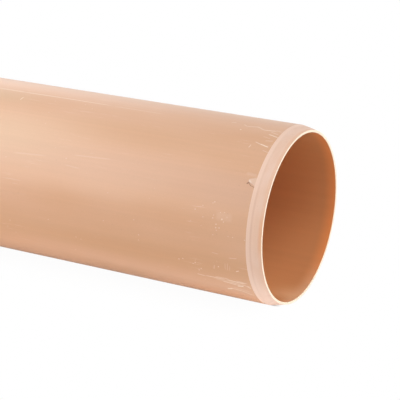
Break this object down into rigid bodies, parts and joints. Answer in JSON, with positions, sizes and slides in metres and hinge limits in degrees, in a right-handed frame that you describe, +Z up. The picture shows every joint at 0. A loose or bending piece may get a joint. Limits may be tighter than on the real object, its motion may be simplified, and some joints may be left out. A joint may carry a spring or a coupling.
{
  "type": "upvc drainage pipe",
  "caption": "Plain-ended uPVC underground drainage pipe, 110 mm outside diameter, in a straight stock length with chamfered spigot ends.",
  "frame": {"origin": "on the ground, straight below the middle of the lying pipe", "axes": "+X along the pipe's axis, towards the end seen in the picture; +Y across it; +Z up"},
  "size_m": [3, 0.11, 0.1096],
  "materials": {
    "upvc": "satin"
  },
  "bodies": {
    "root": {"pipe": "upvc"}
  },
  "joints": []
}
